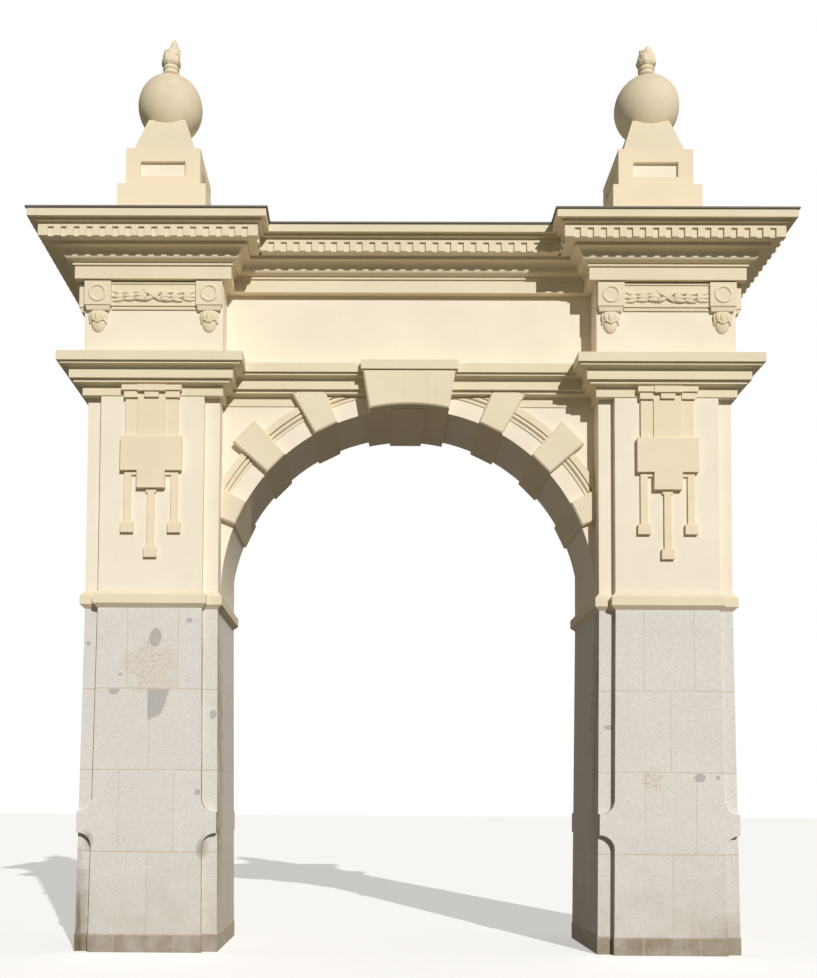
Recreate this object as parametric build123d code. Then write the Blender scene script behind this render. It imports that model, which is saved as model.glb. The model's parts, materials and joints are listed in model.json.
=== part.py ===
"""Triumphal arch: two granite and plaster piers, a round arch, a cornice and ball finials.

Millimetres. X runs across the front, Y from front to back, Z up.
The origin is on the ground, midway between the piers and midway through their depth.
"""
import os
from math import cos, radians, sin
from build123d import *

# Passage and piers
passage_width = 3824
pier_width = 1336
pier_depth = 1340
strip_width = 149
panel_relief = 80
plinth_height = 174
plinth_step = 6
granite_batter = 34
granite_course_height = 809
granite_course_count = 4
strip_stop_height = 209
strip_stop_level = 1172

# Impost band
impost_projection = 45
impost_bevel_height = 41
impost_face_height = 87
impost_slope_height = 48

# Arch
arch_stilt = 29
crown_cover = 30
wall_recess = 220
wall_bearing = 150
raised_stone_relief = 90
raised_stone_drop = 15
raised_stone_length = 470
raised_stone_foot_width = 262
raised_stone_head_width = 322
raised_stone_angles = {"low": 25.4, "middle": 44.6, "top": 63.7}
stone_chamfer = 14
archivolt_face_width = 172
archivolt_face_relief = 16
archivolt_fillet_width = 26
archivolt_fillet_relief = 28
archivolt_groove_width = 10
archivolt_groove_relief = 8
archivolt_bead_width = 40
archivolt_bead_rise = 30
archivolt_band_width = 70
archivolt_band_relief = 38

# Keystone
keystone_foot_width = 804
keystone_head_width = 938
keystone_drop = 40
keystone_foot_drop = 45
keystone_relief = 300
keystone_cap_overhang = 20
key_rib_foot_width = 342
key_rib_head_width = 396
key_rib_drop = 58
key_rib_setback = 120

# Lower cornice, which is the pier capital and the string course
capital_setback = 26
low_fascia_height = 88
low_fascia_projection = 38
low_cove_height = 21
low_fillet_height = 32
low_fillet_projection = 113
mid_fascia_height = 88
mid_fascia_projection = 150
mid_cove_height = 29
mid_fillet_height = 24
mid_fillet_projection = 226
top_fascia_height = 92
top_fascia_projection = 255

# Frieze
frieze_height = 792
frieze_overhang = 31

# Upper cornice
architrave_height = 131
architrave_projection = 86
architrave_fillet_height = 27
architrave_fillet_projection = 105
ovolo_height = 45
ovolo_projection = 172
cavetto_height = 60
cavetto_projection = 250
bed_fascia_height = 30
bed_fascia_projection = 262
dentil_height = 89
dentil_strip_height = 40
dentil_projection = 379
dentil_depth = 22
dentil_width = 68
dentil_gap = 59
corona_fillet_height = 24
corona_fillet_projection = 418
corona_height = 78
corona_projection = 467
flashing_thickness = 15
flashing_overhang = 16

# Pedestals, balls and flames
pedestal_base_width = 923
pedestal_base_height = 653
pedestal_block_width = 780
pedestal_block_height = 417
pedestal_panel_width = 470
pedestal_panel_height = 160
pedestal_panel_sink = 40
pedestal_panel_level = 117
neck_foot_width = 664
neck_head_width = 392
neck_height = 424
ball_diameter = 688
ball_lift = 240
collar_diameter = 168
collar_ring_height = 48
collar_ring_count = 2
flame_diameter = 214
flame_height = 315
tongue_count = 5
tongue_diameter = 82
tongue_height = 130
tongue_circle_diameter = 96
tongue_level = 80

# Frieze ornaments
corner_block_width = 266
corner_block_height = 245
corner_block_relief = 62
corner_block_inset = 5
corner_block_top_gap = 10
block_foot_height = 46
block_foot_inset = 12
block_foot_relief = 44
ring_diameter = 178
ring_width = 22
ring_relief = 12
pendant_width = 184
pendant_height = 222
band_relief = 24
band_fillet_height = 24
band_fillet_relief = 40

# Drop ornament on the panels, from the top down
drop_bar_width = 600
drop_bar_height = 52
drop_bar_relief = 76
drop_centre_bar_height = 62
drop_centre_bar_relief = 88
drop_second_width = 555
drop_second_height = 68
drop_second_relief = 56
drop_button_width = 143
drop_button_height = 58
drop_button_relief = 70
drop_band_width = 530
drop_band_relief = 28
drop_centre_width = 280
drop_centre_relief = 42
drop_box_gap = 427
drop_box_width = 612
drop_box_height = 344
drop_box_relief = 60
drop_foot_height = 176
drop_lug_height = 40
drop_centre_lug_width = 102
drop_stem_width = 70
drop_stem_relief = 26
drop_stem_spacing = 470
drop_side_stem_height = 522
drop_centre_stem_height = 595
drop_tip_width = 127
drop_tip_height = 100
drop_tip_relief = 42

# Shares, angles and cutting values
half_share = 0.5
strip_stop_radius_share = 0.94
pendant_depth_share = 0.5
pendant_shares = [(0.36, 0), (0.49, 0.12), (0.5, 0.36), (0.45, 0.56), (0.4, 0.62), (0.42, 0.72), (0.32, 0.89),
                  (0.07, 1)]
flame_shares = [(0.4, 0), (0.5, 0.17), (0.44, 0.42), (0.28, 0.6), (0.14, 0.8), (0.02, 1)]
tongue_shares = [(0.3, 0), (0.5, 0.3), (0.3, 0.65), (0.02, 1)]
quarter_turn = 90
half_turn = 180
curve_steps = 6
overrun = 400
joint_gap = 0.3

# Moulding courses from the bottom up: height, projection at the foot, projection at the head, form
impost_courses = [
    (impost_bevel_height, 0, impost_projection, "slope"),
    (impost_face_height, impost_projection, impost_projection, "flat"),
    (impost_slope_height, impost_projection, 0, "slope"),
]
lower_courses = [
    (low_fascia_height, low_fascia_projection, low_fascia_projection, "flat"),
    (low_cove_height, low_fascia_projection, low_fillet_projection, "cove"),
    (low_fillet_height, low_fillet_projection, low_fillet_projection, "flat"),
    (mid_fascia_height, mid_fascia_projection, mid_fascia_projection, "flat"),
    (mid_cove_height, mid_fascia_projection, mid_fillet_projection, "cove"),
    (mid_fillet_height, mid_fillet_projection, mid_fillet_projection, "flat"),
    (top_fascia_height, top_fascia_projection, top_fascia_projection, "flat"),
]
upper_courses = [
    (architrave_height, architrave_projection, architrave_projection, "flat"),
    (architrave_fillet_height, architrave_fillet_projection, architrave_fillet_projection, "flat"),
    (ovolo_height, architrave_fillet_projection, ovolo_projection, "ovolo"),
    (cavetto_height, ovolo_projection, cavetto_projection, "cove"),
    (bed_fascia_height, bed_fascia_projection, bed_fascia_projection, "flat"),
    (dentil_height + dentil_strip_height, dentil_projection, dentil_projection, "flat"),
    (corona_fillet_height, corona_fillet_projection, corona_fillet_projection, "flat"),
    (corona_height, corona_projection, corona_projection, "flat"),
]


def course_height(courses):
    """Full height of a stack of moulding courses."""
    return sum(course[0] for course in courses)


# Derived plan sizes
pier_half_width = pier_width * half_share
pier_half_depth = pier_depth * half_share
panel_half_width = pier_half_width - strip_width
panel_half_depth = pier_half_depth + panel_relief
arch_radius = passage_width * half_share
pier_x = arch_radius + pier_half_width
wall_half_depth = pier_half_depth - wall_recess
frieze_half_width = pier_half_width + frieze_overhang
centre_half_width = pier_x - frieze_half_width
archivolt_width = (archivolt_face_width + archivolt_fillet_width + archivolt_bead_width + archivolt_band_width
                   + 2 * archivolt_groove_width)
low_fascia_relief = low_fascia_projection - capital_setback
sides = {"left": -1, "right": 1}

# Derived levels, from the ground up
granite_top = plinth_height + granite_course_height * granite_course_count
impost_top = granite_top + course_height(impost_courses)
spring_level = impost_top + arch_stilt
shaft_top = spring_level + arch_radius + crown_cover
low_fascia_top = shaft_top + low_fascia_height
mid_fascia_foot = shaft_top + course_height(lower_courses[:3])
lower_top = shaft_top + course_height(lower_courses)
keystone_cap_foot = lower_top - top_fascia_height
frieze_top = lower_top + frieze_height
dentil_level = frieze_top + course_height(upper_courses[:5])
cornice_top = frieze_top + course_height(upper_courses)
flashing_top = cornice_top + flashing_thickness
pedestal_base_top = flashing_top + pedestal_base_height
pedestal_block_top = pedestal_base_top + pedestal_block_height
neck_top = pedestal_block_top + neck_height
ball_level = neck_top + ball_lift
ball_top = ball_level + ball_diameter * half_share


def slab(x0, x1, y0, y1, z0, z1):
    """Block between two corners."""
    at = Pos((x0 + x1) * half_share, (y0 + y1) * half_share, (z0 + z1) * half_share)
    return at * Box(x1 - x0, y1 - y0, z1 - z0)


def centred(x, half_x, half_y, z0, z1):
    """Block centred on x and on the middle of the depth."""
    return slab(x - half_x, x + half_x, -half_y, half_y, z0, z1)


def tapered(half_x, half_y, points, spread=1):
    """Stack of rectangles lofted through (level, projection) points; spread -1 draws its ends in instead."""
    rings = [Pos(0, 0, z) * Rectangle(2 * (half_x + spread * out), 2 * (half_y + out)) for z, out in points]
    return loft(rings, ruled=True)


def trapezoid(half_low, half_high, z0, z1):
    """Upright symmetrical outline that narrows or widens upwards."""
    return make_face(Polyline((-half_low, z0), (half_low, z0), (half_high, z1), (-half_high, z1), close=True))


def course_points(level, course):
    """Levels and projections up one course; a curved course is a quarter ellipse in straight steps."""
    height, start, end, form = course
    if form in ("flat", "slope"):
        return [(level, start), (level + height, end)]
    points = []
    for step in range(curve_steps + 1):
        angle = radians(quarter_turn * step / curve_steps)
        if form == "cove":
            points.append((level + height * sin(angle), end - (end - start) * cos(angle)))
        else:
            points.append((level + height * (1 - cos(angle)), start + (end - start) * sin(angle)))
    return points


def moulding(half_x, half_y, base, courses, spread=1):
    """Stack of courses round a core; spread -1 draws its ends in, to fit the same courses on the piers."""
    solid = tapered(half_x, half_y, course_points(base, courses[0]), spread)
    for number, course in enumerate(courses[1:], 1):
        level = base + course_height(courses[:number])
        solid += tapered(half_x, half_y, course_points(level, course), spread)
    return solid


def granite_pier():
    """Battered granite pier whose corner strips are stopped by a full-width band."""
    core = tapered(pier_half_width, pier_half_depth, [(plinth_height, granite_batter), (granite_top, 0)])
    band_middle = strip_stop_level + strip_stop_height * half_share
    outline = trapezoid(panel_half_width + granite_batter, panel_half_width, plinth_height, granite_top)
    outline += Pos(0, band_middle) * Rectangle(2 * pier_width, strip_stop_height)
    outline &= trapezoid(pier_half_width + granite_batter, pier_half_width, plinth_height, granite_top)
    corners = [v for v in outline.vertices()
               if abs(v.X) < pier_half_width and plinth_height + joint_gap < v.Y < granite_top - joint_gap]
    outline = fillet(corners, strip_width * strip_stop_radius_share)
    panels = extrude(Plane.XZ * outline, panel_half_depth + granite_batter, both=True)
    fronts = trapezoid(panel_half_depth + granite_batter, panel_half_depth, plinth_height, granite_top)
    return core + (panels & extrude(Plane.YZ * fronts, pier_width, both=True))


def plinth():
    """Plain course under the granite pier and its panels."""
    out = granite_batter + plinth_step
    return (centred(0, pier_half_width + out, pier_half_depth + out, 0, plinth_height)
            + centred(0, panel_half_width + out, panel_half_depth + out, 0, plinth_height))


def pier_shaft(x):
    """Plastered upper pier, with a pocket where the arch wall bears on it."""
    shaft = centred(x, pier_half_width, pier_half_depth, impost_top, shaft_top)
    shaft += centred(x, panel_half_width, panel_half_depth, impost_top, shaft_top)
    return shaft - centred(0, arch_radius + wall_bearing, wall_half_depth, impost_top, shaft_top)


def impost():
    """Impost band round the pier and round its raised panels."""
    return (moulding(pier_half_width, pier_half_depth, granite_top, impost_courses)
            + moulding(panel_half_width, panel_half_depth, granite_top, impost_courses))


def gap_boxes(half_run, half_across):
    """Gaps between the teeth on the front and back of a straight run, centred on it."""
    pitch = dentil_width + dentil_gap
    count = int((2 * half_run - dentil_width) // pitch)
    front = half_across + dentil_projection
    boxes = []
    for number in range(count):
        x = (number - (count - 1) * half_share) * pitch
        box = slab(x - dentil_gap * half_share, x + dentil_gap * half_share, front - dentil_depth, front,
                   dentil_level, dentil_level + dentil_height)
        boxes += [box, Rot(0, 0, half_turn) * box]
    return boxes


def pier_cornice():
    """Upper cornice round the pier, with teeth on all four sides."""
    gaps = gap_boxes(frieze_half_width + dentil_projection, panel_half_depth)
    ends = gap_boxes(panel_half_depth + dentil_projection, frieze_half_width)
    gaps += [Rot(0, 0, quarter_turn) * box for box in ends]
    return moulding(frieze_half_width, panel_half_depth, frieze_top, upper_courses) - gaps


def centre_cornice():
    """Upper cornice over the arch wall, from pier to pier."""
    half = centre_half_width - joint_gap
    return (moulding(half, wall_half_depth, frieze_top, upper_courses, -1)
            - gap_boxes(half - dentil_projection, wall_half_depth))


def eased(stone):
    """Stone with the edges of its front and back faces chamfered."""
    faces = stone.faces().sort_by(Axis.Y)
    return chamfer(faces[0].edges() + faces[-1].edges(), stone_chamfer)


def raised_stone(angle, side):
    """One raised arch stone, right through the wall, widening outwards."""
    foot = arch_radius - raised_stone_drop
    outline = Polyline(
        (-raised_stone_foot_width * half_share, 0),
        (raised_stone_foot_width * half_share, 0),
        (raised_stone_head_width * half_share, raised_stone_length),
        (-raised_stone_head_width * half_share, raised_stone_length),
        close=True)
    face = Pos(0, foot) * make_face(outline) - Circle(foot)
    leaning = Pos(0, spring_level) * Rot(0, 0, side * (angle - quarter_turn)) * face
    return extrude(Plane.XZ * leaning, wall_half_depth + raised_stone_relief, both=True)


def stone_limit():
    """Space in which the raised stones stay: between the piers and below the middle fascia."""
    return centred(0, arch_radius, pier_depth, 0, mid_fascia_foot)


def keystone_face(top):
    """Wedge of the centre stone up to a level, its foot curved with the arch."""
    hollow = arch_radius - keystone_drop
    foot = spring_level + hollow - keystone_foot_drop
    half_foot = keystone_foot_width * half_share
    face = trapezoid(half_foot, keystone_head_width * half_share, foot, keystone_cap_foot)
    face &= Pos(0, (foot + top) * half_share) * Rectangle(keystone_head_width, top - foot)
    return face - Pos(0, spring_level) * Circle(hollow)


def keystone_front():
    """Raised front half of the centre stone."""
    return extrude(Plane.XZ * keystone_face(keystone_cap_foot), wall_half_depth + keystone_relief)


def keystone_cap():
    """Cap of the centre stone, level with the top fascia."""
    half = keystone_head_width * half_share + keystone_cap_overhang
    front = wall_half_depth + keystone_relief + keystone_cap_overhang
    return slab(-half, half, -front, 0, keystone_cap_foot, lower_top)


def keystone_back():
    """Back half of the centre stone, nearly flush, with the rib that runs along the underside."""
    back = extrude(Plane.XZ * keystone_face(shaft_top), -(wall_half_depth + archivolt_band_relief))
    foot = arch_radius - key_rib_drop
    rib_face = Pos(0, spring_level + foot) * trapezoid(
        key_rib_foot_width * half_share, key_rib_head_width * half_share, 0, raised_stone_length)
    rib_face -= Pos(0, spring_level) * Circle(foot)
    rib = extrude(Plane.XZ * rib_face, wall_half_depth + keystone_relief - key_rib_setback)
    rib += extrude(Plane.XZ * rib_face, -(wall_half_depth + raised_stone_relief))
    return back + (rib & stone_limit())


def arch_hollow(radius, half_depth):
    """Round-headed void of the passage."""
    round_head = Pos(0, 0, spring_level) * Rot(quarter_turn, 0, 0) * Cylinder(radius, 2 * half_depth)
    return round_head + centred(0, radius, half_depth, 0, spring_level)


def spandrel(side, cutters):
    """Arch wall on one side of the keystone, bearing in the pier's pocket."""
    end = side * (arch_radius + wall_bearing)
    wall = slab(min(0, end), max(0, end), -wall_half_depth, wall_half_depth, impost_top, shaft_top)
    return wall - arch_hollow(arch_radius, pier_depth) - cutters


def archivolt():
    """Moulded ring on the front of the wall: a flat face, a fillet, a bead between two grooves, a band."""
    face_end = arch_radius + archivolt_face_width
    fillet_end = face_end + archivolt_fillet_width
    bead_start = fillet_end + archivolt_groove_width
    bead_end = bead_start + archivolt_bead_width
    band_start = bead_end + archivolt_groove_width
    ring_end = band_start + archivolt_band_width
    lines = Polyline(
        (bead_end, archivolt_groove_relief), (band_start, archivolt_groove_relief),
        (band_start, archivolt_band_relief), (ring_end, archivolt_band_relief), (ring_end, 0),
        (arch_radius, 0),
        (arch_radius, archivolt_face_relief), (face_end, archivolt_face_relief),
        (face_end, archivolt_fillet_relief), (fillet_end, archivolt_fillet_relief),
        (fillet_end, archivolt_groove_relief), (bead_start, archivolt_groove_relief))
    crest = ((bead_start + bead_end) * half_share, archivolt_groove_relief + archivolt_bead_rise)
    bead = ThreePointArc((bead_start, archivolt_groove_relief), crest, (bead_end, archivolt_groove_relief))
    section = Rot(half_turn, 0, 0) * make_face(lines.edges() + bead.edges())
    ring = Pos(0, -wall_half_depth, spring_level) * revolve(section, -Axis.Y, half_turn)
    return ring & centred(0, arch_radius, pier_depth, spring_level, low_fascia_top)


def archivolt_pocket():
    """Space that the head of the ring takes out of the lowest fascia, on the front."""
    disc = Pos(0, spring_level) * Circle(arch_radius + archivolt_width + joint_gap)
    space = extrude(Plane.XZ * disc, wall_half_depth + archivolt_band_relief)
    front = slab(-arch_radius, arch_radius, -pier_depth, -wall_half_depth, spring_level, low_fascia_top)
    return space & front


def string_course(side, cutters):
    """Lower cornice carried across the arch wall, from the pier to the keystone."""
    core_half_depth = wall_half_depth - capital_setback
    course = moulding(arch_radius - joint_gap, core_half_depth, shaft_top, lower_courses, -1)
    half = slab(min(0, side * arch_radius), max(0, side * arch_radius), -pier_depth, pier_depth,
                shaft_top, lower_top)
    return (course & half) - cutters


def flashing():
    """Lead sheet over the whole cornice."""
    reach = corona_projection + flashing_overhang
    half_width = frieze_half_width + reach
    half_depth = panel_half_depth + reach
    sheet = centred(0, pier_x, wall_half_depth + reach, cornice_top, flashing_top)
    for side in sides.values():
        sheet += centred(side * pier_x, half_width, half_depth, cornice_top, flashing_top)
    return sheet


def pedestal_block():
    """Square block with a sunk panel on each side."""
    half = pedestal_block_width * half_share
    low = pedestal_base_top + pedestal_panel_level
    panel = slab(-pedestal_panel_width * half_share, pedestal_panel_width * half_share,
                 half - pedestal_panel_sink, half, low, low + pedestal_panel_height)
    panels = [Rot(0, 0, turn * quarter_turn) * panel for turn in range(4)]
    return centred(0, half, half, pedestal_base_top, pedestal_block_top) - panels


def pedestal_neck():
    """Tapered neck, dished for the ball."""
    head = neck_head_width * half_share
    foot = neck_foot_width * half_share
    neck = tapered(head, head, [(pedestal_block_top, foot - head), (neck_top, 0)])
    return neck - Pos(0, 0, ball_level) * Sphere(ball_diameter * half_share + joint_gap)


def turned_face(shares, width, height):
    """Upright half section given as shares of a width and a height."""
    points = [(width * x, height * z) for x, z in shares]
    straight = Polyline(points[-1], (0, height), (0, 0), points[0])
    return Plane.XZ * make_face(straight.edges() + Spline(points).edges())


def flame():
    """Ringed collar with a ring of tongues round a flame, seated on the ball."""
    ring_radius = collar_ring_height * half_share
    core_radius = collar_diameter * half_share - ring_radius
    collar_top = ball_top + (collar_ring_count + half_share) * collar_ring_height
    collar_foot = ball_top - collar_ring_height
    solid = Pos(0, 0, collar_foot) * extrude(Circle(core_radius), collar_top - collar_foot)
    for number in range(collar_ring_count):
        solid += Pos(0, 0, ball_top + (number + 1) * collar_ring_height) * Torus(core_radius, ring_radius)
    solid += Pos(0, 0, collar_top) * revolve(turned_face(flame_shares, flame_diameter, flame_height))
    tongue = revolve(turned_face(tongue_shares, tongue_diameter, tongue_height))
    for place in PolarLocations(tongue_circle_diameter * half_share, tongue_count):
        solid += Pos(0, 0, collar_top + tongue_level) * place * tongue
    return solid - Pos(0, 0, ball_level) * Sphere(ball_diameter * half_share + joint_gap)


def frieze_ornament_face(half_length):
    """Blocks, rings and band of one face, standing out along -Y from Y = 0."""
    top = frieze_top - corner_block_top_gap
    low = top - corner_block_height
    foot = low - block_foot_height
    half = corner_block_width * half_share
    block_x = half_length - corner_block_inset - half
    solid = slab(-block_x, block_x, -band_relief, 0, foot, top)
    for level in (foot, top - band_fillet_height):
        solid += slab(-block_x, block_x, -band_fillet_relief, 0, level, level + band_fillet_height)
    ring = extrude(Circle(ring_diameter * half_share) - Circle(ring_diameter * half_share - ring_width),
                   corner_block_relief + ring_relief)
    for side in (-1, 1):
        x = side * block_x
        solid += slab(x - half, x + half, -corner_block_relief, 0, low, top)
        half_foot = half - block_foot_inset
        solid += slab(x - half_foot, x + half_foot, -block_foot_relief, 0, foot, low)
        solid += Pos(x, 0, (low + top) * half_share) * (Plane.XZ * ring)
    return solid


def pendants(half_length):
    """Half-round pendants under the two corner blocks of one face."""
    x = half_length - corner_block_inset - corner_block_width * half_share
    level = frieze_top - corner_block_top_gap - corner_block_height - block_foot_height
    drop = revolve(turned_face(pendant_shares, pendant_width, -pendant_height), Axis.Z, half_turn)
    drop = scale(Rot(0, 0, half_turn) * drop, (1, pendant_depth_share, 1))
    return [Pos(side * x, 0, level) * drop for side in (-1, 1)]


def frieze_ornament(side):
    """Frieze ornaments on the front, the back and the outer end of the block."""
    front = frieze_ornament_face(frieze_half_width)
    for drop in pendants(frieze_half_width):
        front += drop
    front = Pos(0, -panel_half_depth, 0) * front
    end = Pos(0, -frieze_half_width, 0) * frieze_ornament_face(panel_half_depth)
    end = Rot(0, 0, side * quarter_turn) * end
    return [Pos(side * pier_x, 0, 0) * face for face in (front, Rot(0, 0, half_turn) * front, end)]


def drop_ornament(x):
    """Stepped ornament that hangs over the capital's lowest fascia, on the front and back panels."""
    def plate(width, top, height, relief, centre=0):
        return slab(centre - width * half_share, centre + width * half_share, -relief, 0, top - height, top)

    second_top = low_fascia_top - drop_bar_height
    band_top = second_top - drop_second_height
    box_top = shaft_top - drop_box_gap
    box_low = box_top - drop_box_height
    foot_low = box_low - drop_foot_height
    button_top = low_fascia_top - drop_centre_bar_height
    solid = plate(drop_bar_width, low_fascia_top, drop_bar_height, drop_bar_relief)
    solid += plate(drop_centre_width, low_fascia_top, drop_centre_bar_height, drop_centre_bar_relief)
    solid += plate(drop_second_width, second_top, drop_second_height, drop_second_relief)
    solid -= plate(drop_centre_width, button_top, button_top - band_top, drop_bar_relief)
    solid += plate(drop_button_width, button_top, drop_button_height, drop_button_relief)
    solid += plate(drop_band_width, band_top, band_top - box_top, drop_band_relief)
    solid += plate(drop_centre_width, button_top, button_top - box_top, drop_centre_relief)
    solid += plate(drop_box_width, box_top, drop_box_height, drop_box_relief)
    solid += plate(drop_centre_width, box_low, drop_foot_height, drop_box_relief)
    solid += plate(drop_stem_spacing + drop_stem_width, box_low, drop_lug_height, drop_stem_relief)
    solid += plate(drop_centre_lug_width, foot_low, drop_lug_height, drop_stem_relief)
    stems = [(0, foot_low, drop_centre_stem_height)]
    for side in (-1, 1):
        stems.append((side * drop_stem_spacing * half_share, box_low, drop_side_stem_height))
    for centre, top, height in stems:
        solid += plate(drop_stem_width, top, height, drop_stem_relief, centre)
        solid += plate(drop_tip_width, top - height, drop_tip_height, drop_tip_relief, centre)
    fascia = slab(-pier_width, pier_width, -low_fascia_relief, 0, shaft_top, low_fascia_top)
    front = Pos(0, -panel_half_depth, 0) * (solid - fascia)
    return [Pos(x, 0, 0) * Rot(0, 0, turn) * front for turn in (0, half_turn)]


def as_solids(shape):
    """Flat list of the solids in a shape or in a list of shapes."""
    shapes = shape if isinstance(shape, list) else [shape]
    return [solid for one in shapes for solid in one.solids()]


def build():
    """All nodes by name."""
    nodes = {}
    key = keystone_front()
    key_rest = keystone_cap() + keystone_back()
    cutters = [key, key_rest]
    wall = centred(0, centre_half_width, wall_half_depth, lower_top, frieze_top)
    base_half = pedestal_base_width * half_share
    capital_half_depth = panel_half_depth - capital_setback
    pier_pieces = {
        "granite_plinth": plinth(),
        "granite_pier": granite_pier(),
        "impost": impost(),
        "pier_capital": moulding(pier_half_width, capital_half_depth, shaft_top, lower_courses),
        "frieze_block": centred(0, frieze_half_width, panel_half_depth, lower_top, frieze_top),
        "pier_cornice": pier_cornice(),
        "pedestal_base": centred(0, base_half, base_half, flashing_top, pedestal_base_top),
        "pedestal_block": pedestal_block(),
        "pedestal_neck": pedestal_neck(),
        "ball": Pos(0, 0, ball_level) * Sphere(ball_diameter * half_share),
        "flame_finial": flame(),
    }
    for name, side in sides.items():
        x = side * pier_x
        for piece, solid in pier_pieces.items():
            nodes[f"{piece}_{name}"] = Pos(x, 0, 0) * solid
        nodes[f"pier_shaft_{name}"] = pier_shaft(x)
        nodes[f"drop_ornament_{name}"] = drop_ornament(x)
        nodes[f"frieze_ornament_{name}"] = frieze_ornament(side)
        for level, angle in raised_stone_angles.items():
            stone = raised_stone(angle, side)
            nodes[f"voussoir_{level}_{name}"] = eased(stone) & stone_limit()
            cutters.append(stone & stone_limit())
    nodes["keystone"] = eased(key) + key_rest
    ring = archivolt()
    pocket = archivolt_pocket()
    pockets = [pocket, Rot(0, 0, half_turn) * pocket]
    for name, side in sides.items():
        nodes[f"spandrel_{name}"] = spandrel(side, cutters)
        nodes[f"string_course_{name}"] = string_course(side, cutters + pockets)
    nodes["archivolt_front"] = ring - cutters
    nodes["archivolt_back"] = Rot(0, 0, half_turn) * ring - cutters
    nodes["frieze_wall"] = wall
    nodes["centre_cornice"] = centre_cornice()
    nodes["cornice_flashing"] = flashing()
    return nodes


os.makedirs("parts", exist_ok=True)
for node, shape in build().items():
    solids = as_solids(shape)
    export_step(solids[0] if len(solids) == 1 else Compound(children=solids), f"parts/{node}.step")
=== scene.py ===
"""Looks of the triumphal arch: painted plaster, speckled granite and lead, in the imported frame."""
import json
from math import cos, pi, radians, sin

import bmesh
import bpy
from mathutils import Euler, Matrix, Vector, noise


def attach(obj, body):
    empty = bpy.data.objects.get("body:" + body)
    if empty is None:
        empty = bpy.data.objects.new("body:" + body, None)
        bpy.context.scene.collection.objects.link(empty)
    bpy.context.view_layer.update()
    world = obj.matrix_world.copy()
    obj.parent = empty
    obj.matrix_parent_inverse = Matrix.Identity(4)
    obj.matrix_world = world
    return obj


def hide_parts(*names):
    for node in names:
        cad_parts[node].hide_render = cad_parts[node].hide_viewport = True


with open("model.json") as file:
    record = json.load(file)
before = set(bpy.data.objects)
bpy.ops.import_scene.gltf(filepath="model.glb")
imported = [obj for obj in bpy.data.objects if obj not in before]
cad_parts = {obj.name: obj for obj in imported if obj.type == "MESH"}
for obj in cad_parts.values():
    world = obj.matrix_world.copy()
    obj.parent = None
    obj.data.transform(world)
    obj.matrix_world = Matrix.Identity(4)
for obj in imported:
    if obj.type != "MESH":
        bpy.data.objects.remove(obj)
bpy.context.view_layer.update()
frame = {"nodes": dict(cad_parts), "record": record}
nodes = frame["nodes"]

# Photograph and camera, in pixels, metres and radians
photo_width_px = 817
photo_height_px = 978
focal_px = 1131.07
axis_x_px = 362.5
axis_y_px = 752.1
camera_place = (-0.3698, -11.936, 1.4526)
camera_pitch = 0.0471
camera_yaw = -0.0071
camera_roll = 0.0059
sensor_width_mm = 36
far_clip = 400

# Light
sun_direction = (-0.333, 1.0, -0.487)
sun_energy = 3.05
sun_width = radians(0.6)
sun_colour = (1.0, 0.985, 0.96)
back_direction = (-0.15, -1.0, -0.35)
back_energy = 1.0
back_width = radians(10)
fill_colour = (1.0, 0.93, 0.80)
fill_strength = 0.20

# Floor: what it throws back on the arch, and what is seen of it
floor_reach = 150
floor_bounce_colour = (0.22, 0.20, 0.17)
floor_seen_colour = (0.85, 0.85, 0.85)
floor_glow = 0.42

# Paint, stone and lead, linear colours
wall_colour = (0.90, 0.815, 0.675)
ornament_colour = (0.83, 0.735, 0.545)
finial_colour = (0.865, 0.75, 0.55)
granite_colour = (0.765, 0.73, 0.68)
mica_colour = (0.14, 0.13, 0.12)
pale_grain_colour = (0.88, 0.86, 0.82)
joint_colour = (0.60, 0.52, 0.42)
repair_colour = (0.44, 0.425, 0.40)
rust_colour = (0.42, 0.255, 0.105)
rust_wash_colour = (0.62, 0.50, 0.34)
dirt_colour = (0.30, 0.245, 0.17)
stain_colour = (0.13, 0.092, 0.045)
grime_colour = (0.25, 0.155, 0.055)
lead_edge_colours = ((0.10, 0.085, 0.065), (0.20, 0.18, 0.15))
lead_top_colours = ((0.52, 0.50, 0.455), (0.64, 0.62, 0.57))
lead_seam_colour = (0.24, 0.23, 0.21)

# Shares of a colour
cloud_shares = ((0.965, 0.96, 0.95), (1.02, 1.02, 1.02))
patch_shares = (0.94, 0.93, 0.91)
run_shares = (0.62, 0.60, 0.56)
sand_shares = (0.7, 0.7, 0.7)
dull_block_shares = (0.965, 0.965, 0.965)
bright_block_shares = (0.99, 1.0, 1.015)
stone_cloud_shares = (0.90, 0.91, 0.93)
dark_grain_shares = (0.70, 0.70, 0.70)
dull_cement_shares = (0.93, 0.93, 0.93)
bright_cement_shares = (1.07, 1.07, 1.07)
foot_dirt_shares = (1.35, 1.35, 1.35)
# Painted shade on the top of the balls and painted bounce light on their underside, to even out the sun's
# shading on them
ball_top_shade_shares = (0.84, 0.84, 0.84)
ball_underside_light_shares = (1.10, 1.10, 1.10)
# Painted shade: the neck's paint is darkened because its sloping face takes more sun
neck_shade_shares = (0.92, 0.92, 0.92)

# Noise as (waves per metre, detail)
sand_noise = (420.0, 3)
trowel_noise = (9.0, 3)
cement_noise = (30.0, 4)
stone_noise = (60.0, 4)
dent_noise = (14.0, 3)
grain_scale = 120.0

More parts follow.
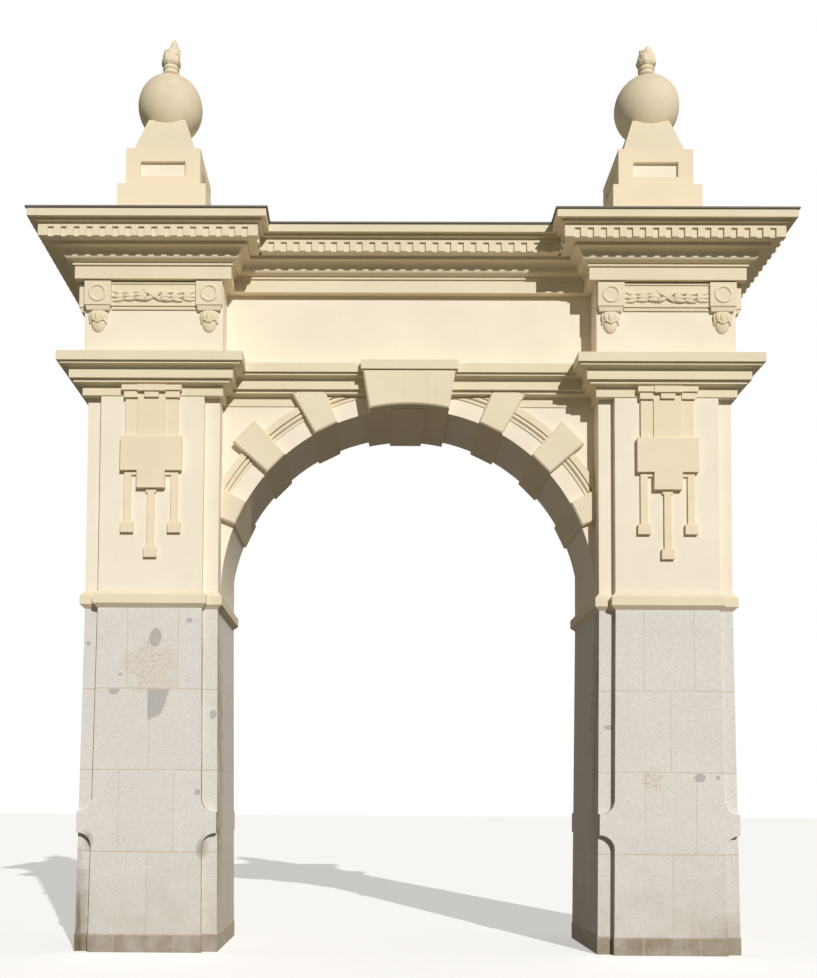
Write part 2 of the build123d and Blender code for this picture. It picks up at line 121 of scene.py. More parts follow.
# Layers of noise as (waves per metre, detail, low end, high end), one with its roughness too
plaster_layers = {
    "clouds": (1.7, 4, 0.3, 0.7),
    "patches": (7.0, 3, 0.52, 0.75),
    "runs": (1.0, 3, 0.58, 0.85),
}
granite_layers = {
    "joint sway": (2.5, 2, 0.3, 0.7),
    "joint wear": (14.0, 3, 0.3, 0.55),
    "clouds": (1.6, 5, 0.35, 0.7),
    "mica": (180.0, 2, 0.62, 0.70),
    "pale grain": (55.0, 3, 0.58, 0.72),
    "pits": (66.0, 3, 0.57, 0.64),
    "wander": (9.0, 3, 0.25, 0.75),
    "repair edge": (9.0, 2, 0.3, 0.7),
    "dirt": (4.0, 5, 0.35, 0.65, 0.65),
    "runs": (1.0, 4, 0.45, 0.7),
    "grime": (1.0, 4, 0.36, 0.58),
}
lead_clouds = (3.0, 5, 0.3, 0.7)

# Stretch of the noise that makes upright runs
plaster_run_stretch = (26.0, 26.0, 1.1)
granite_run_stretch = (16.0, 16.0, 1.3)
grime_run_stretch = (9.0, 9.0, 1.4)

# Strengths from 0 to 1
patch_strength = 0.3
run_strength = 0.05
keystone_run_strength = 0.12
sand_strength = 0.06
sand_ends = (0.35, 0.65)
lead_seam_strength = 0.6
granite_strengths = {
    "front joint": 0.75, "flank joint": 0.6, "worn joint": 0.45, "clouds": 0.55, "dark grain": 0.5,
    "mica": 0.5, "pale grain": 0.35, "rust wash": 0.16, "pits": 0.9, "repair": 0.9, "foot dirt": 0.36,
    "grime": 0.8,
}
dark_grain_ends = (0.35, 1.0)
foot_cloud_strengths = (0.3, 1.0)
plinth_cloud_strengths = (0.6, 0.98)
plinth_joint_strengths = (1.0, 0.35)
stain_run_strengths = (0.5, 1.0)

# Soft edges as shares of a half width
line_softness = 0.4
rust_softness = 0.25
repair_softness = 0.06
stain_softness = 0.7
grime_softness = 0.5
wander_share = 0.5
repair_edge_share = 0.16

# Surfaces: roughness at both ends, bump in metres and its strength, heights as weights in the bump
plaster_roughness = (0.82, 0.95)
plaster_bump = (0.0022, 0.5)
plaster_specular = 0.2
sand_rough_ends = (0.3, 0.7)
trowel_height = 1.6
granite_roughness = (0.65, 0.9)
granite_bump = (0.003, 0.5)
granite_specular = 0.3
grain_height = 0.3
joint_height = -1.2
lead_roughness = (0.6, 0.8)
lead_bump = (0.004, 0.4)
lead_metallic = 0.15
lead_top_normal = 0.5

# Places on the arch, in metres
pier_x = 2.58
spring_level = 3.615
archivolt_face_radius = 2.086
panel_front = 0.75
pedestal_half_width = 0.39
pedestal_panel_sink = 0.04
ball_top = 9.34
# The balls' painted shade holds down to the first depth below their top; their painted bounce light is full at
# the second
ball_shaded_top_depth = 0.15
ball_underside_depth = 0.62
lead_seam_spacing = 0.94
lead_seam_half_width = 0.008

# Frieze, in metres: corner blocks and the band between them, heights from the top of the frieze
frieze_half_width = 0.699
frieze_top = 6.723
frieze_moulding_top = -0.010
block_low = -0.255
block_foot = -0.301
block_foot_inset = 0.008
block_foot_bevel = 0.010
block_centre_inset = 0.138
corner_block_half = 0.133
corner_block_relief = 0.062
block_ring_radius = 0.078
block_ring_thickness = 0.015
ring_flatness = 0.75
band_relief = 0.030
top_fillet_height = 0.024
top_fillet_relief = 0.042
low_fillet_rise = 0.014
low_fillet_height = 0.026
low_fillet_relief = 0.019
quirk_height = 0.007
quirk_relief = 0.006
worn_edge = 0.004
worn_edge_angle = radians(40)
worn_edge_segments = 2

# Leaves: counts of steps and ribs, the back in metres, and powers and shares of the form
leaf_steps = 8
leaf_ribs = 6
leaf_back = -0.002
leaf_tip_share = 0.999
leaf_outline_power = 0.8
leaf_dome_power = 0.6
leaf_keel_share = 0.28
leaf_keel_narrowness = 5
leaf_rise_start = 0.12
leaf_rise_span = 0.8

# Garland, in metres and degrees: leaves as (offset, turn, length, width, rise), ribbon as (along, radius)
garland_leaves = ((0.018, 7, 0.130, 0.042, 0.011), (-0.031, -8, 0.138, 0.046, 0.014),
                  (-0.006, 0, 0.142, 0.048, 0.017))
garland_level = -0.150
garland_tiers = 3
tier_start = 0.062
tier_step = 0.112
tier_lift = 0.003
tier_lift_step = 0.005
leaf_lift_share = 0.3
stray_waves = (23, 61)
stray_seed = 2.3
stray_turn = 13
stray_shift = 0.012
stray_length_share = 0.16
stray_rise_share = 0.4
bud_levels = (-0.026, 0.026)
bud_along = 0.02
bud_drop = 0.009
bud_size = 0.02
bud_rise = 0.012
bud_lift = 0.010
ribbon_strands = 3
ribbon_strand_spacing = 0.021
ribbon_path = ((-0.092, 0.007), (-0.055, 0.011), (-0.02, 0.011), (0.02, 0.011), (0.055, 0.011),
               (0.092, 0.007))
ribbon_half_length = 0.09
ribbon_slope = 0.62
ribbon_lift = 0.012
ribbon_crossing = 0.004
ribbon_sides = 8

# Pendants, in metres and degrees: outlines as (radius, height), the cap's with its edge and its flutes
# as a share, leaves as (offset, turn, length, width)
pendant_sides = 40
pendant_flatness = 0.56
acorn_outline = ((0.066, -0.09), (0.071, -0.118), (0.072, -0.135), (0.068, -0.155), (0.06, -0.174),
                 (0.047, -0.193), (0.03, -0.208), (0.012, -0.2155), (0.001, -0.217))
cap_outline = ((0.06, -0.0005, "plain", 0.0), (0.078, -0.005, "lobed", 0.0), (0.088, -0.020, "lobed", 0.0),
               (0.0905, -0.045, "plain", 0.02), (0.089, -0.075, "scalloped", 0.025),
               (0.0905, -0.100, "scalloped", 0.02), (0.0915, -0.113, "scalloped", 0.0),
               (0.088, -0.118, "scalloped", 0.0), (0.078, -0.114, "scalloped", 0.0),
               (0.068, -0.105, "scalloped", 0.0))
cap_flutes = 10
scallop_share = 0.12
scallop_waves = 4.6
lobe_drop = 0.012
lobe_waves = 7
lobe_narrowness = 2.2
pendant_leaves = ((0.0, -90, 0.112, 0.066), (-0.062, -84, 0.096, 0.056), (0.062, -96, 0.096, 0.056),
                  (-0.112, -88, 0.09, 0.05), (0.112, -92, 0.09, 0.05))
pendant_leaf_root = -0.012
pendant_leaf_rise = 0.011
pendant_leaf_radius = 0.088
pendant_wrap_radius = 0.089
pendant_leaf_front_share = 0.4

# Flames, in metres above the ball: outlines as (radius, height),
# tongues as (turn in degrees, reach, top, radius, lean, power of the taper),
# swirls as (depth share, folds, twist in radians per metre), lumps as (waves per metre, share)
collar_foot = (0.064, -0.008)
collar_ring_centre = 0.067
collar_ring_radius = 0.0225
collar_ring_levels = (0.042, 0.092)
collar_ring_step = 30
collar_neck = ((0.064, 0.120), (0.07, 0.13))
collar_sides = 48
flame_foot = ((0.064, 0.112), (0.088, 0.128), (0.101, 0.15), (0.102, 0.18), (0.094, 0.215), (0.086, 0.25),
              (0.074, 0.28), (0.05, 0.31), (0.02, 0.325))
flame_foot_sides = 64
flame_swirls = ((0.04, 5, -14), (0.03, 9, 27))
low_tongues = ((-95, 0.074, 0.29, 0.044, 0.01, 0.5), (-45, 0.090, 0.258, 0.036, -0.012, 0.5),
               (-135, 0.086, 0.25, 0.036, 0.014, 0.5), (50, 0.088, 0.27, 0.038, 0.01, 0.5),
               (140, 0.086, 0.26, 0.038, -0.01, 0.5))
flame_tongues = {
    "left": ((0, 0.036, 0.435, 0.078, 0.0, 0.58), (180, 0.070, 0.342, 0.042, 0.0, 0.6),
             (0, 0.086, 0.344, 0.042, 0.0, 0.6), (95, 0.07, 0.34, 0.044, 0.02, 0.5)),
    "right": ((0, 0.016, 0.374, 0.096, 0.0, 0.62), (180, 0.062, 0.330, 0.034, 0.0, 0.5),
              (0, 0.080, 0.290, 0.044, 0.0, 0.5), (95, 0.06, 0.31, 0.044, 0.02, 0.5)),
}
tongue_root = 0.17
tongue_root_share = 0.55
tongue_bend_share = 0.9
tongue_curl = 1.6
tongue_tip = 0.004
tongue_steps = 8
tongue_sides = 12
flame_voxel = 0.0045
flame_soften_rounds = 4
flame_soften_factor = 0.5
lump_start = 0.125
lump_ease = 0.03
lump_depth = 0.006
lump_waves = ((30, 0.7), (62, 0.3))

# Granite courses and joints, in metres, the joints of the flanks as (y, course from the ground)
plinth_height = 0.174
course_height = 0.809
course_levels = [plinth_height + course_height * number for number in range(5)]
flank_joints = ((0.0, 0), (-0.45, 1), (0.45, 1), (0.0, 2), (-0.45, 3), (0.45, 3))
joint_half_width = 0.005
bed_joint_half_width = 0.0055
plinth_joint_half_width = 0.008
joint_sway = 0.003
plinth_edge = 0.001
front_face_y = -0.6
flank_normal = 0.7
foot_dirt_levels = (0.1, 1.3)

# Marks on the granite as (x, z, half width, half height), grime with y for x, a repair with the highest z
# and the lowest x that it reaches, a stain with its strength; painted light and shade on the faces towards
# the passage as (strength, colour)
repair_joint_gap = 0.004
third_bed = course_levels[3] - repair_joint_gap
second_bed = course_levels[2] - repair_joint_gap
any_x = -9
whole = (course_levels[4], any_x)
grime_spot = (-0.64, 2.05, 0.30, 1.25)
granite_sides = {
    "left": {
        "joints": ((-2.57, 0), (-2.862, 1), (-2.313, 1), (-2.57, 2), (-2.80, 3), (-2.293, 3)),
        "plinth": (-2.889, -2.285),
        "repairs": ((-2.518, 3.11, 0.062, 0.092, *whole), (-2.588, 2.60, 0.215, 0.285, third_bed, -2.588),
                    (-2.182, 3.286, 0.031, 0.029, *whole), (-2.918, 2.60, 0.058, 0.06, third_bed, any_x),
                    (-1.945, 2.352, 0.034, 0.042, *whole), (-2.08, 1.575, 0.028, 0.028, *whole),
                    (-3.205, 3.061, 0.022, 0.022, *whole), (-2.861, 2.743, 0.018, 0.018, *whole)),
        "rust": (-2.55, 2.80, 0.25, 0.24),
        "stains": ((-3.26, 0.36, 0.085, 0.40, 0.92), (-3.25, 0.06, 0.12, 0.16, 0.92),
                   (-2.03, 1.03, 0.035, 0.10, 0.8), (-3.16, 1.1, 0.04, 0.08, 0.8)),
        # Painted light: a warm tint on the face towards the passage, which the sun grazes
        "inner": (0.4, (0.76, 0.68, 0.52)),
    },
    "right": {
        "joints": ((2.606, 0), (2.34, 1), (2.841, 1), (2.596, 2), (2.338, 3), (2.835, 3)),
        "plinth": (2.312, 2.873),
        "repairs": ((2.0, 2.244, 0.045, 0.025, *whole), (2.881, 1.74, 0.05, 0.042, second_bed, any_x),
                    (3.057, 1.746, 0.018, 0.022, *whole)),
        "rust": (2.41, 1.71, 0.09, 0.10),
        "stains": ((3.1, 0.20, 0.24, 0.14, 0.38), (2.6, 0.10, 0.4, 0.05, 0.3)),
        # Painted shade: a dark tint on the face towards the passage, which lies in shade
        "inner": (0.4, (0.30, 0.25, 0.19)),
    },
}


def add_camera():
    data = bpy.data.cameras.new("photo_camera")
    data.sensor_width = sensor_width_mm
    data.lens = focal_px / photo_height_px * sensor_width_mm
    data.shift_x = (photo_width_px / 2 - axis_x_px) / photo_height_px
    data.shift_y = (axis_y_px - photo_height_px / 2) / photo_height_px
    data.clip_end = far_clip
    camera = bpy.data.objects.new("photo_camera", data)
    bpy.context.scene.collection.objects.link(camera)
    turn = Euler((pi / 2 + camera_pitch, 0, -camera_yaw)).to_matrix()
    turn = turn @ Matrix.Rotation(camera_roll, 3, "Z")
    camera.matrix_world = Matrix.Translation(camera_place) @ turn.to_4x4()
    bpy.context.scene.camera = camera


class Nodes:
    """Short way to write a node tree."""

    def __init__(self, tree):
        self.tree = tree

    def feed(self, socket, value):
        if isinstance(value, bpy.types.NodeSocket):
            self.tree.links.new(value, socket)
        else:
            socket.default_value = value

    def add(self, kind, inputs=None, **settings):
        node = self.tree.nodes.new(kind)
        for key, value in settings.items():
            setattr(node, key, value)
        for key, value in (inputs or {}).items():
            self.feed(node.inputs[key], value)
        return node

    def noise(self, place, scale, detail, rough=0.5):
        return self.add("ShaderNodeTexNoise", {"Vector": place, "Scale": scale, "Detail": detail,
                                               "Roughness": rough}).outputs["Fac"]

    def span(self, value, low, high, out_low=0.0, out_high=1.0):
        return self.add("ShaderNodeMapRange", {"Value": value, "From Min": low, "From Max": high,
                                               "To Min": out_low, "To Max": out_high}).outputs["Result"]

    def layer(self, place, layer, out_low=0.0, out_high=1.0):
        """Noise from a table of layers, spread between two ends."""
        scale, detail, low, high, *rough = layer
        return self.span(self.noise(place, scale, detail, *rough), low, high, out_low, out_high)

    def mix(self, factor, first, second, blend="MIX"):
        node = self.add("ShaderNodeMix", {0: factor}, data_type="RGBA", blend_type=blend)
        for socket, colour in ((node.inputs[6], first), (node.inputs[7], second)):
            self.feed(socket, colour if isinstance(colour, bpy.types.NodeSocket) else (*colour, 1))
        return node.outputs[2]

    def math(self, operation, *values):
        return self.add("ShaderNodeMath", dict(enumerate(values)), operation=operation).outputs[0]

    def fold(self, operation, values):
        result = values[0]
        for value in values[1:]:
            result = self.math(operation, result, value)
        return result

    def product(self, *values):
        return self.fold("MULTIPLY", values)

    def total(self, *values):
        return self.fold("ADD", values)

    def most(self, *values):
        return self.fold("MAXIMUM", values)

    def stretched(self, place, scale):
        return self.add("ShaderNodeVectorMath", {0: place, 1: scale}, operation="MULTIPLY").outputs[0]

    def axes(self, place):
        return self.add("ShaderNodeSeparateXYZ", {0: place}).outputs

    def normal(self):
        return self.axes(self.add("ShaderNodeNewGeometry").outputs["Normal"])

    def off(self, value, middle):
        return self.math("ABSOLUTE", self.math("SUBTRACT", value, middle))

    def far(self, across, up):
        return self.math("SQRT", self.total(self.math("POWER", across, 2.0), self.math("POWER", up, 2.0)))

    def line(self, value, middle, half):
        """1 on a soft-edged line of the given half width."""
        edges = half * (1 - line_softness), half * (1 + line_softness)
        return self.span(self.off(value, middle), *edges, 1.0, 0.0)

    def between(self, value, low, high):
        return self.math("LESS_THAN", self.off(value, (low + high) / 2), (high - low) / 2)

    def spot(self, first, second, shape, softness, wobble):
        """1 inside an ellipse given as its centre and half sizes along two axes, with an uneven edge."""
        across = self.math("DIVIDE", self.math("SUBTRACT", first, shape[0]), shape[2])
        up = self.math("DIVIDE", self.math("SUBTRACT", second, shape[1]), shape[3])
        return self.span(self.total(self.far(across, up), wobble), 1 - softness, 1 + softness, 1.0, 0.0)


def new_material(name):
    material = bpy.data.materials.new(name)
    material.use_nodes = True
    tree = material.node_tree
    tree.nodes.clear()
    kit = Nodes(tree)
    shader = kit.add("ShaderNodeBsdfPrincipled")
    output = kit.add("ShaderNodeOutputMaterial")
    tree.links.new(shader.outputs[0], output.inputs[0])
    place = kit.add("ShaderNodeTexCoord").outputs["Object"]
    return material, kit, shader, place


def dress(kit, shader, base, roughness, height, bump):
    """Joins the colour, the roughness and the bump, given as (metres, strength), to a shader."""
    relief = kit.add("ShaderNodeBump", {"Height": height, "Distance": bump[0], "Strength": bump[1]})
    for key, value in (("Base Color", base), ("Roughness", roughness), ("Normal", relief.outputs[0])):
        kit.tree.links.new(value, shader.inputs[key])


def shaded(colour, shares):
    return tuple(channel * share for channel, share in zip(colour, shares))


def plaster(name, colour, runs=0.0, second=None, patches=patch_strength):
    """Painted render with trowel clouds, fine sand and rain runs; second is another colour and its mask."""
    material, kit, shader, place = new_material(name)
    shade = kit.mix(kit.layer(place, plaster_layers["clouds"]), *cloud_shares)
    shade = kit.mix(kit.layer(place, plaster_layers["patches"], 0.0, patches), shade, patch_shares)
    upright = kit.stretched(place, plaster_run_stretch)
    shade = kit.mix(kit.layer(upright, plaster_layers["runs"], 0.0, run_strength + runs), shade, run_shares)
    sand = kit.noise(place, *sand_noise)
    shade = kit.mix(kit.span(sand, *sand_ends, 0.0, sand_strength), shade, sand_shares)
    if second:
        second_colour, mask = second
        colour = kit.mix(mask(kit, place), colour, second_colour)
    base = kit.mix(1.0, shade, colour, "MULTIPLY")
    height = kit.total(kit.product(kit.noise(place, *trowel_noise), trowel_height), sand)
    dress(kit, shader, base, kit.span(sand, *sand_rough_ends, *plaster_roughness), height, plaster_bump)
    shader.inputs["Specular IOR Level"].default_value = plaster_specular
    return material


def archivolt_face(kit, place):
    """1 on the flat inner face of the arch ring."""
    x, y, z = kit.axes(place)
    return kit.math("LESS_THAN", kit.far(x, kit.math("SUBTRACT", z, spring_level)), archivolt_face_radius)


def ball_underside(kit, place):
    """0 on the top of the balls, where painted shade darkens them, 1 on their underside, where painted bounce
    light lightens them.
    """
    x, y, z = kit.axes(place)
    return kit.span(z, ball_top - ball_shaded_top_depth, ball_top - ball_underside_depth)


def sunk_panel(kit, place):
    """1 on the sunk faces of the pedestal blocks."""
    x, y, z = kit.axes(place)
    across = kit.off(kit.math("ABSOLUTE", x), pier_x)
    far = kit.most(across, kit.math("ABSOLUTE", y))
    return kit.math("LESS_THAN", far, pedestal_half_width - pedestal_panel_sink / 2)


def granite_joints(kit, place, side):
    """Mask of the worn joints, and a chance tone from 0 to 1 for each block."""
    x, y, z = kit.axes(place)
    marks, passed = [], []
    for joint_x, course in side["joints"]:
        inside = kit.between(z, course_levels[course], course_levels[course + 1])
        line = kit.line(x, joint_x, joint_half_width)
        marks.append(kit.product(inside, line, granite_strengths["front joint"]))
        passed.append(kit.product(inside, kit.math("GREATER_THAN", x, joint_x)))
    for joint_y, course in flank_joints:
        inside = kit.between(z, course_levels[course], course_levels[course + 1])
        line = kit.line(y, joint_y, joint_half_width)
        marks.append(kit.product(inside, line, granite_strengths["flank joint"]))
    for joint_x in side["plinth"]:
        line = kit.line(x, joint_x, plinth_joint_half_width)
        marks.append(kit.product(kit.between(z, 0, plinth_height), line))
    swayed = kit.total(z, kit.layer(place, granite_layers["joint sway"], -joint_sway, joint_sway))
    for level in course_levels[:-1]:
        marks.append(kit.line(swayed, level, bed_joint_half_width))
    wear = kit.layer(place, granite_layers["joint wear"], granite_strengths["worn joint"])
    row = kit.math("FLOOR", kit.math("DIVIDE", kit.math("SUBTRACT", z, plinth_height), course_height))
    block = kit.add("ShaderNodeCombineXYZ", {0: row, 1: kit.total(*passed), 2: 0.5})
    tone = kit.add("ShaderNodeTexWhiteNoise", {"Vector": block.outputs[0]}).outputs["Value"]
    return kit.product(kit.most(*marks), wear), tone


def granite_stone(kit, place, tone):
    """Colour of the bare stone, and the grey of its grains."""
    base = kit.mix(tone, shaded(granite_colour, dull_block_shares),
                   shaded(granite_colour, bright_block_shares))
    clouds = kit.layer(place, granite_layers["clouds"], 0.0, granite_strengths["clouds"])
    base = kit.mix(clouds, base, shaded(granite_colour, stone_cloud_shares))
    grains = kit.add("ShaderNodeTexVoronoi", {"Vector": place, "Scale": grain_scale}, feature="F1")
    grey = kit.add("ShaderNodeSeparateColor", {"Color": grains.outputs["Color"]}).outputs[0]
    dark = kit.span(grey, *dark_grain_ends, 0.0, granite_strengths["dark grain"])
    base = kit.mix(dark, base, shaded(granite_colour, dark_grain_shares))
    for name, colour in (("mica", mica_colour), ("pale grain", pale_grain_colour)):
        base = kit.mix(kit.layer(place, granite_layers[name], 0.0, granite_strengths[name]), base, colour)
    return base, grey


def granite_marks(kit, place, base, side, wander):
    """Rust pits and cement repairs on the front."""
    x, y, z = kit.axes(place)
    front = kit.math("LESS_THAN", y, front_face_y)
    rust = kit.product(front, kit.spot(x, z, side["rust"], rust_softness, wander))
    base = kit.mix(kit.product(rust, granite_strengths["rust wash"]), base, rust_wash_colour)
    pits = kit.layer(place, granite_layers["pits"])
    base = kit.mix(kit.product(rust, pits, granite_strengths["pits"]), base, rust_colour)
    edge = kit.layer(place, granite_layers["repair edge"], -repair_edge_share, repair_edge_share)
    repairs = []
    for *shape, highest, lowest_x in side["repairs"]:
        inside = kit.product(kit.math("LESS_THAN", z, highest), kit.math("GREATER_THAN", x, lowest_x))
        repairs.append(kit.product(kit.spot(x, z, shape, repair_softness, edge), inside))
    cement = kit.mix(kit.noise(place, *cement_noise), shaded(repair_colour, dull_cement_shares),
                     shaded(repair_colour, bright_cement_shares))
    return kit.mix(kit.product(front, kit.most(*repairs), granite_strengths["repair"]), base, cement)


def granite_dirt(kit, place, base, side, joints, wander):
    """Dirt at the foot and on the plinth, and dark runs on the front."""
    x, y, z = kit.axes(place)
    clouds = kit.layer(place, granite_layers["dirt"])
    foot = kit.span(z, *foot_dirt_levels, granite_strengths["foot dirt"], 0.0)
    foot = kit.product(kit.span(clouds, 0.0, 1.0, *foot_cloud_strengths), foot)
    base = kit.mix(foot, base, shaded(dirt_colour, foot_dirt_shares))
    plinth = kit.math("LESS_THAN", z, plinth_height - plinth_edge)
    plinth = kit.product(plinth, kit.span(joints, 0.0, 1.0, *plinth_joint_strengths),
                         kit.span(clouds, 0.0, 1.0, *plinth_cloud_strengths))
    base = kit.mix(plinth, base, dirt_colour)
    front = kit.math("LESS_THAN", y, front_face_y)
    upright = kit.stretched(place, granite_run_stretch)
    runs = kit.layer(upright, granite_layers["runs"], *stain_run_strengths)
    stains = [kit.product(kit.spot(x, z, shape, stain_softness, wander), strength)
              for *shape, strength in side["stains"]]
    return kit.mix(kit.product(front, runs, kit.most(*stains)), base, stain_colour)


def granite_inner_face(kit, place, base, side, wander):
    """Painted light and shade on the face towards the passage, warm on the sunlit left, dark on the shaded
    right, and grimy runs.
    """
    x, y, z = kit.axes(place)
    flank = kit.math("GREATER_THAN", kit.math("ABSOLUTE", kit.normal()[0]), flank_normal)
    inner = kit.product(kit.math("LESS_THAN", kit.math("ABSOLUTE", x), pier_x), flank)
    # Painted light or shade, set pier by pier, on the face towards the passage
    strength, colour = side["inner"]
    base = kit.mix(kit.product(inner, strength), base, colour)
    runs = kit.layer(kit.stretched(place, grime_run_stretch), granite_layers["grime"])
    near_edge = kit.spot(y, z, grime_spot, grime_softness, wander)
    return kit.mix(kit.product(inner, runs, near_edge, granite_strengths["grime"]), base, grime_colour)


def granite(name, side):
    """Dressed granite blocks of one pier."""
    material, kit, shader, place = new_material(name)
    joints, tone = granite_joints(kit, place, side)
    base, grey = granite_stone(kit, place, tone)
    base = kit.mix(joints, base, joint_colour)
    wander = kit.layer(place, granite_layers["wander"], -wander_share, wander_share)
    base = granite_marks(kit, place, base, side, wander)
    base = granite_dirt(kit, place, base, side, joints, wander)
    base = granite_inner_face(kit, place, base, side, wander)
    height = kit.total(kit.noise(place, *stone_noise), kit.product(grey, grain_height),
                       kit.product(joints, joint_height))
    dress(kit, shader, base, kit.span(grey, 0.0, 1.0, *granite_roughness), height, granite_bump)
    shader.inputs["Specular IOR Level"].default_value = granite_specular
    return material


def lead():
    """Weathered lead sheet, bleached on top and dark along its drip edge."""
    material, kit, shader, place = new_material("lead_sheet")
    clouds = kit.layer(place, lead_clouds)
    edge = kit.mix(clouds, *lead_edge_colours)
    top = kit.mix(clouds, *lead_top_colours)
    along = kit.math("PINGPONG", kit.axes(place)[0], lead_seam_spacing / 2)
    seam = kit.math("LESS_THAN", along, lead_seam_half_width)
    top = kit.mix(kit.product(seam, lead_seam_strength), top, lead_seam_colour)
    base = kit.mix(kit.math("GREATER_THAN", kit.normal()[2], lead_top_normal), edge, top)
    dents = kit.noise(place, *dent_noise)
    dress(kit, shader, base, kit.span(clouds, 0.0, 1.0, *lead_roughness), dents, lead_bump)
    shader.inputs["Metallic"].default_value = lead_metallic
    return material


def paint_nodes():
    """Gives each solid its finish; gives back the ornament's paint for the pieces that are added."""
    ornament = plaster("ornament_plaster_paint", ornament_colour)
    finial = plaster("finial_paint", finial_colour)
    by_slot = {"wall_plaster": plaster("wall_plaster_paint", wall_colour), "ornament_plaster": ornament,
               "lead_sheet": lead()}
    # The balls' paint: painted shade on top, painted bounce light underneath
    shaded_top = shaded(finial_colour, ball_top_shade_shares)
    underside = (shaded(finial_colour, ball_underside_light_shares), ball_underside)
    special = {
        "keystone": plaster("keystone_paint", ornament_colour, keystone_run_strength),
        "archivolt": plaster("archivolt_paint", ornament_colour, second=(wall_colour, archivolt_face)),
        "pedestal_block": plaster("pedestal_block_paint", finial_colour, second=(wall_colour, sunk_panel)),
        "pedestal_base": finial,
        # Painted shade darkens the neck, whose sloping face takes more sun
        "pedestal_neck": plaster("pedestal_neck_paint", shaded(ornament_colour, neck_shade_shares)),
        "ball_": plaster("ball_paint", shaded_top, second=underside, patches=1.0),
        "drop_ornament": finial,
    }
    for name, side in granite_sides.items():
        stone = granite(f"granite_{name}_stone", side)
        special[f"granite_pier_{name}"] = stone
        special[f"granite_plinth_{name}"] = stone
    slots = {part["node"]: part["material_slot"] for part in frame["record"]["subparts"]}
    for name, piece in nodes.items():
        own = [material for start, material in special.items() if name.startswith(start)]
        piece.data.materials.clear()
        piece.data.materials.append(own[0] if own else by_slot[slots[name]])
    return ornament


def add_piece(name, points, faces, material, replaced=None):
    """New piece of painted plaster on the arch."""
    mesh = bpy.data.meshes.new(name)
    mesh.from_pydata(points, [], faces)
    mesh.validate()
    shape = bmesh.new()
    shape.from_mesh(mesh)
    bmesh.ops.recalc_face_normals(shape, faces=shape.faces)
    shape.to_mesh(mesh)
    shape.free()
    for polygon in mesh.polygons:
        polygon.use_smooth = True
    piece = bpy.data.objects.new(name, mesh)
    bpy.context.scene.collection.objects.link(piece)
    piece.data.materials.append(material)
    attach(piece, "root")
    if replaced:
        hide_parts(replaced)
    return piece


def skin(faces, start, rings, sides):
    """Quads between rings of points, and a face at each end."""
    for number in range(rings - 1):
        for side in range(sides):
            low = start + number * sides
            following = (side + 1) % sides
            faces.append((low + side, low + following, low + sides + following, low + sides + side))
    for ring in (start, start + (rings - 1) * sides):
        faces.append(tuple(ring + side for side in range(sides)))


def tube(points, faces, path, radii, sides):
    """Closed tapering tube through path, added to the lists."""
    start = len(points)
    for number, (place, radius) in enumerate(zip(path, radii)):
        ahead = path[min(number + 1, len(path) - 1)] - path[max(number - 1, 0)]
        turn = ahead.to_track_quat("Z", "X")
        for side in range(sides):
            angle = 2 * pi * side / sides
            points.append(tuple(place + turn @ Vector((radius * cos(angle), radius * sin(angle), 0))))
    skin(faces, start, len(path), sides)


def lathe(points, faces, profile, sides, lobes=None):
    """Closed turned form from (radius, height) pairs; lobes gives a radius share by angle and height."""
    start = len(points)
    for radius, height in profile:
        for side in range(sides):
            angle = 2 * pi * side / sides
            far = radius * (lobes(angle, height) if lobes else 1)
            points.append((far * cos(angle), far * sin(angle), height))
    skin(faces, start, len(profile), sides)


def flame_swirl(angle, height):
    """Share of the radius that folds and twists the foot of a flame."""
    share = 1
    for depth, folds, twist in flame_swirls:
        share += depth * cos(folds * angle + twist * height)
    return share


def collar_outline():
    outline = [collar_foot]
    for level in collar_ring_levels:
        for turn in range(-90, 91, collar_ring_step):
            outline.append((collar_ring_centre + collar_ring_radius * cos(radians(turn)),
                            level + collar_ring_radius * sin(radians(turn))))
    return [*outline, *collar_neck]


def add_tongue(points, faces, turn, reach, top, radius, lean, taper):
    """One curling tongue of a flame."""
    way = Vector((cos(radians(turn)), sin(radians(turn)), 0))
    across = Vector((-way.y, way.x, 0))
    path, radii = [], []
    for step in range(tongue_steps + 1):
        share = step / tongue_steps
        spread = tongue_root_share + (1 - tongue_root_share) * share
        bend = sin(share * pi * tongue_bend_share) - tongue_curl * share * share
        level = Vector((0, 0, tongue_root + (top - tongue_root) * share))
        path.append(way * reach * spread + across * lean * bend + level)
        radii.append(radius * (1 - share) ** taper + tongue_tip)
    tube(points, faces, path, radii, tongue_sides)


def flame_shape(tongues):
    """Ringed collar, swollen foot and tongues of one flame, from the ball's top up."""
    points, faces = [], []
    lathe(points, faces, collar_outline(), collar_sides)
    lathe(points, faces, flame_foot, flame_foot_sides, flame_swirl)
    for tongue in tongues:
        add_tongue(points, faces, *tongue)
    return points, faces


def melt(piece):
    """Runs the forms of a piece into one skin and smooths it."""
    remesh = piece.modifiers.new("melt", "REMESH")
    remesh.mode = "VOXEL"
    remesh.voxel_size = flame_voxel
    remesh.use_smooth_shade = True
    soften = piece.modifiers.new("soften", "SMOOTH")
    soften.iterations = flame_soften_rounds
    soften.factor = flame_soften_factor
    melted = piece.evaluated_get(bpy.context.evaluated_depsgraph_get())
    applied = bpy.data.meshes.new_from_object(melted)
    piece.modifiers.clear()
    piece.data = applied


def roughen(mesh):
    """Lumps above the collar of a flame."""
    start = ball_top + lump_start
    moved = []
    for vertex in mesh.vertices:
        ease = min(max((vertex.co.z - start) / lump_ease, 0), 1)
        lump = sum(noise.noise(vertex.co * waves) * share for waves, share in lump_waves)
        moved.append(vertex.co + vertex.normal * lump * ease * lump_depth)
    for vertex, place in zip(mesh.vertices, moved):
        vertex.co = place


